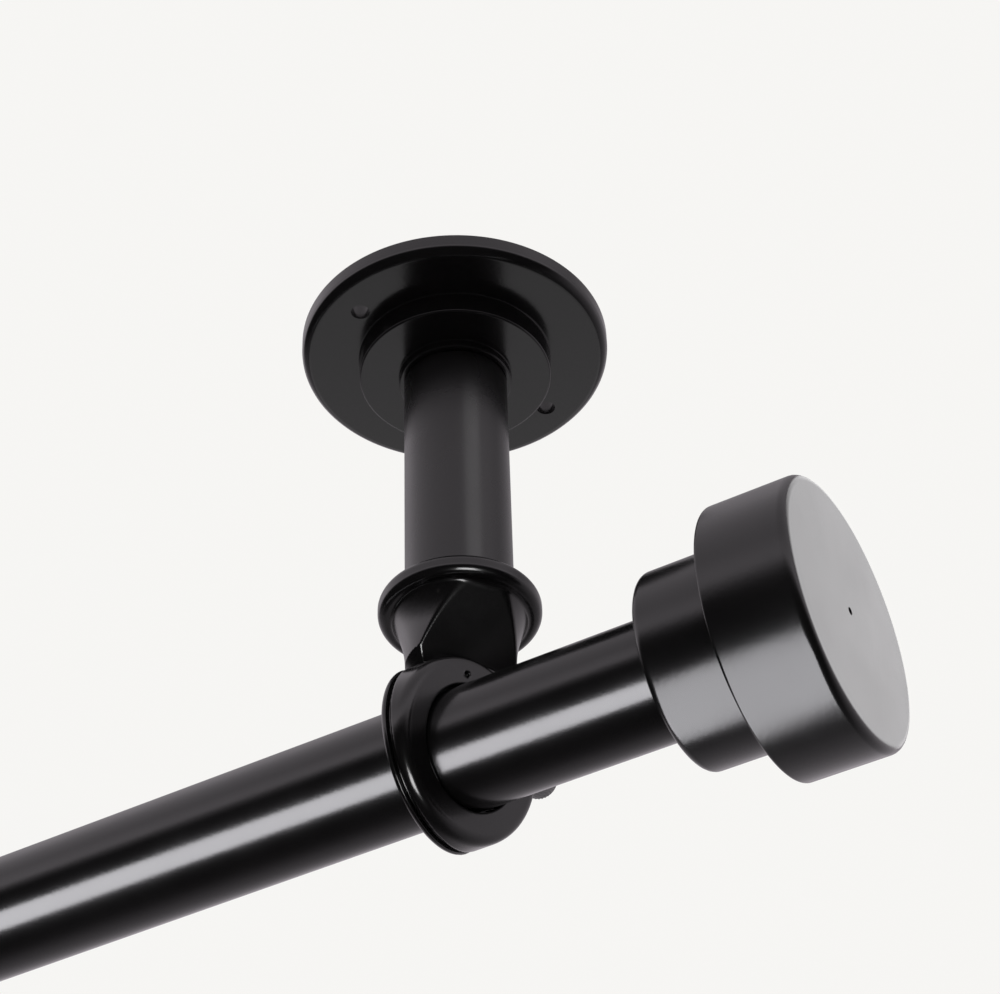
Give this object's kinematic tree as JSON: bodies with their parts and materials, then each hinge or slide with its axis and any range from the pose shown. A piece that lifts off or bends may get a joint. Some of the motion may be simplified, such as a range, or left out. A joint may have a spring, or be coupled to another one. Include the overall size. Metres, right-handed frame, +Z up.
{
  "type": "curtain rod with brackets",
  "caption": "Telescoping black metal curtain rod hung from ceiling brackets with ring holders, with a stepped drum finial at each end.",
  "frame": {"origin": "centre of the near bracket's flange on its ceiling face", "axes": "+X along the rod towards the near finial, +Z up into the ceiling, -Y towards the room"},
  "size_m": [0.7844, 0.0696, 0.1422],
  "materials": {
    "black_metal": "glossy black lacquer over metal",
    "plated_steel": "zinc plated",
    "nylon": "moulded black nylon"
  },
  "bodies": {
    "near_bracket": {"near_flange": "black_metal", "near_upper_stud": "plated_steel", "near_post": "black_metal", "near_lower_stud": "plated_steel", "near_holder": "black_metal"},
    "near_screw": {"near_set_screw": "black_metal"},
    "outer_rod": {"outer_tube": "black_metal"},
    "near_finial": {"near_finial_drum": "black_metal", "near_finial_collar": "black_metal", "near_finial_screw": "plated_steel", "near_finial_plug": "nylon"},
    "inner_rod": {"inner_tube": "black_metal", "inner_guide": "nylon"},
    "far_finial": {"far_finial_drum": "black_metal", "far_finial_collar": "black_metal", "far_finial_screw": "plated_steel", "far_finial_plug": "nylon", "far_end_sleeve": "nylon"},
    "far_bracket": {"far_flange": "black_metal", "far_upper_stud": "plated_steel", "far_post": "black_metal", "far_lower_stud": "plated_steel", "far_holder": "black_metal", "far_ring_liner": "nylon"},
    "far_screw": {"far_set_screw": "black_metal"}
  },
  "joints": [
    {"name": "near_screw_travel", "type": "slide", "parent": "near_bracket", "child": "near_screw", "axis": [0, 0.9336, 0.3584], "range_m": [0, 0.006]},
    {"name": "rod_slide", "type": "slide", "parent": "near_bracket", "child": "outer_rod", "axis": [1, 0, 0], "range_m": [-0.03, 0.06]},
    {"name": "near_finial_pull", "type": "slide", "parent": "outer_rod", "child": "near_finial", "axis": [1, 0, 0], "range_m": [0, 0.03]},
    {"name": "telescope", "type": "slide", "parent": "outer_rod", "child": "inner_rod", "axis": [-1, 0, 0], "range_m": [-0.022, 0.483]},
    {"name": "far_finial_pull", "type": "slide", "parent": "inner_rod", "child": "far_finial", "axis": [-1, 0, 0], "range_m": [0, 0.03]},
    {"name": "far_bracket_slide", "type": "slide", "parent": "inner_rod", "child": "far_bracket", "axis": [1, 0, 0], "range_m": [-0.026, 0.022]},
    {"name": "far_screw_travel", "type": "slide", "parent": "far_bracket", "child": "far_screw", "axis": [0, 0.9336, 0.3584], "range_m": [0, 0.006]}
  ]
}
